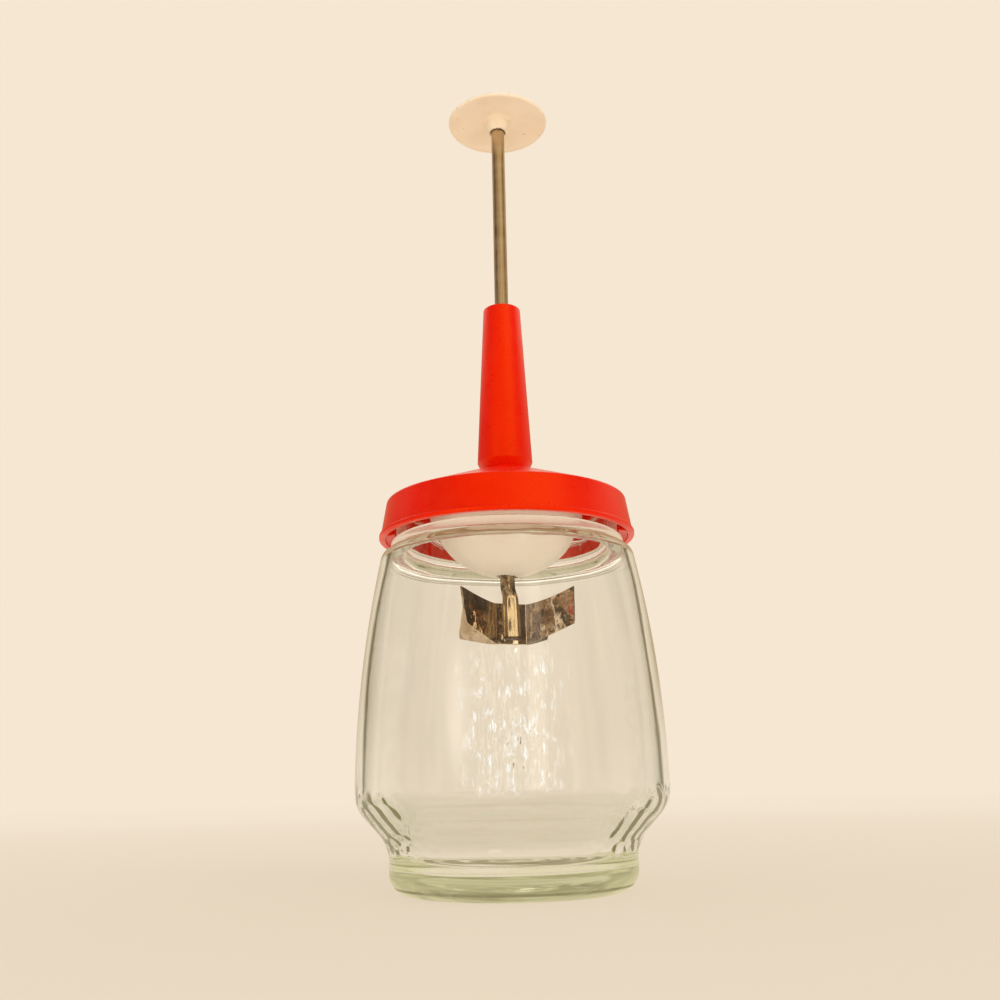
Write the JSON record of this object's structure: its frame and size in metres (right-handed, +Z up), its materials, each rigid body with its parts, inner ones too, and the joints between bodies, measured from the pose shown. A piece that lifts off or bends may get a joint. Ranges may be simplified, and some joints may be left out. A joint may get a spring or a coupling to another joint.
{
  "type": "plunger food chopper",
  "caption": "Hand food chopper: a glass jar with a twist-on lid, a tall guide sleeve, and a spring-returned rod with a knob on top and crossed blades inside the jar.",
  "frame": {"origin": "middle of the surface the jar stands on", "axes": "+Z up along the plunger rod, -Y towards the viewer, +X to the viewer's right"},
  "size_m": [0.1026, 0.1026, 0.2862],
  "materials": {
    "jar_glass": "clear pressed glass, faintly green",
    "red_plastic": "glossy moulded, orange red",
    "cup_plastic": "smooth moulded, warm white",
    "knob_plastic": "satin moulded, aged ivory",
    "bush_plastic": "plain natural nylon",
    "rod_steel": "drawn bar, dull with age",
    "blade_steel": "polished sheet with a ground edge",
    "spring_steel": "drawn wire",
    "washer_steel": "zinc plated",
    "seal_rubber": "pale soft rubber",
    "buffer_rubber": "black rubber"
  },
  "bodies": {
    "jar": {"jar": "jar_glass"},
    "seal": {"sealing_ring": "seal_rubber"},
    "lid": {"lid": "red_plastic", "guide_sleeve": "red_plastic", "sleeve_nut": "cup_plastic", "rod_bush": "bush_plastic", "stop_buffer": "buffer_rubber", "lower_spring_washer": "washer_steel", "return_spring": "spring_steel", "guard_cup": "cup_plastic"},
    "follower": {"upper_spring_washer": "washer_steel"},
    "plunger": {"plunger_rod": "rod_steel", "knob": "knob_plastic", "front_blade": "blade_steel", "rear_blade": "blade_steel", "retaining_clip": "spring_steel"}
  },
  "joints": [
    {"name": "lid_lift", "type": "slide", "parent": "jar", "child": "seal", "axis": [0, 0, 1], "range_m": [0, 0.08]},
    {"name": "lid_turn", "type": "hinge", "parent": "seal", "child": "lid", "pos_m": [0, 0, 0.12], "axis": [0, 0, -1], "range_deg": [0, 35]},
    {"name": "plunger_slide", "type": "slide", "parent": "lid", "child": "follower", "axis": [0, 0, -1], "range_m": [0, 0.0692], "stiffness_N_per_m": 230, "springref_m": -0.02, "deforming": ["return_spring"]},
    {"name": "plunger_turn", "type": "hinge", "parent": "follower", "child": "plunger", "pos_m": [0, 0, 0.2], "axis": [0, 0, 1], "continuous": true}
  ]
}
